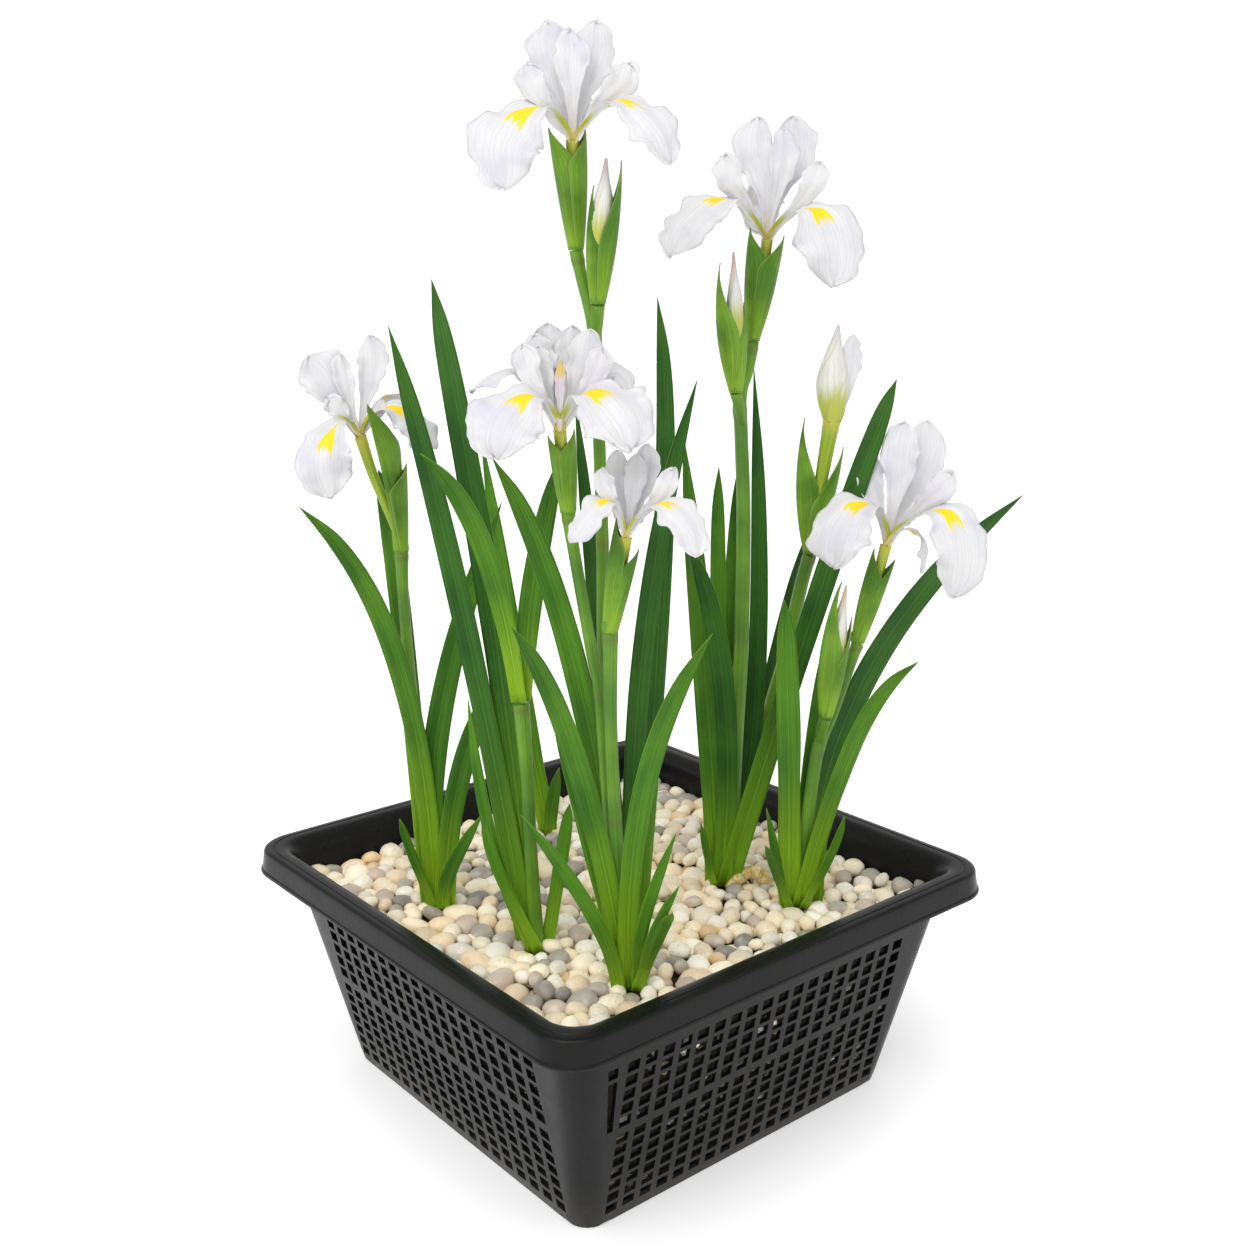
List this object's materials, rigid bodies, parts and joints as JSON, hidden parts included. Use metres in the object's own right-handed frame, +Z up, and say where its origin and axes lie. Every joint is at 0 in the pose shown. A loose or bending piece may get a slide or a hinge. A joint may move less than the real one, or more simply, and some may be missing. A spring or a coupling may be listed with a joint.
{
  "type": "white flag iris in planting basket",
  "caption": "Clump of white flag irises with yellow signals, sword leaves and buds, rooted in gravel in a square latticed pond basket.",
  "frame": {"origin": "centre of the basket's flat underside", "axes": "+Z is up out of the basket; X and Y run along the basket's sides, and the flowers face the corner between the -X wall and the -Y wall"},
  "size_m": [0.3444, 0.2895, 0.5315],
  "materials": {
    "basket_plastic": "satin charcoal black moulded plastic",
    "gravel_stone": "smooth rounded pebbles, cream, taupe, grey and a few amber",
    "leaf_green": "living sword leaf, satin, with fine parallel veins",
    "stalk_green": "living stalk and spathe, satin, fresh yellow-green",
    "petal_white": "soft translucent petal with a yellow signal",
    "bud_cream": "closed bud, cream white running to yellow-green"
  },
  "bodies": {
    "root": {"basket": "basket_plastic", "bud_1": "bud_cream", "bud_2": "bud_cream", "bud_3": "bud_cream", "crown_1": "leaf_green", "crown_2": "leaf_green", "crown_3": "leaf_green", "crown_4": "leaf_green", "crown_5": "leaf_green", "crown_6": "leaf_green", "flower_1": "petal_white", "flower_2": "petal_white", "flower_3": "petal_white", "flower_4": "petal_white", "flower_5": "petal_white", "flower_6": "petal_white", "flower_7": "petal_white", "gravel": "gravel_stone", "leaf_1a": "leaf_green", "leaf_1b": "leaf_green", "leaf_1c": "leaf_green", "leaf_1d": "leaf_green", "leaf_2a": "leaf_green", "leaf_2b": "leaf_green", "leaf_2l": "leaf_green", "leaf_2r": "leaf_green", "leaf_3a": "leaf_green", "leaf_3b": "leaf_green", "leaf_3c": "leaf_green", "leaf_3d": "leaf_green", "leaf_3e": "leaf_green", "leaf_3j": "leaf_green", "leaf_4a": "leaf_green", "leaf_4b": "leaf_green", "leaf_4c": "leaf_green", "leaf_4d": "leaf_green", "leaf_4e": "leaf_green", "leaf_4g": "leaf_green", "leaf_4h": "leaf_green", "leaf_5a": "leaf_green", "leaf_5c": "leaf_green", "leaf_5d": "leaf_green", "spathe_1": "stalk_green", "spathe_10": "stalk_green", "spathe_2": "stalk_green", "spathe_3": "stalk_green", "spathe_4": "stalk_green", "spathe_5": "stalk_green", "spathe_6": "stalk_green", "spathe_7": "stalk_green", "spathe_8": "stalk_green", "spathe_9": "stalk_green", "stalk_1": "stalk_green", "stalk_2": "stalk_green", "stalk_3a": "stalk_green", "stalk_3b": "stalk_green", "stalk_3c": "stalk_green", "stalk_4a": "stalk_green", "stalk_4b": "stalk_green", "stalk_5": "stalk_green"}
  },
  "joints": []
}
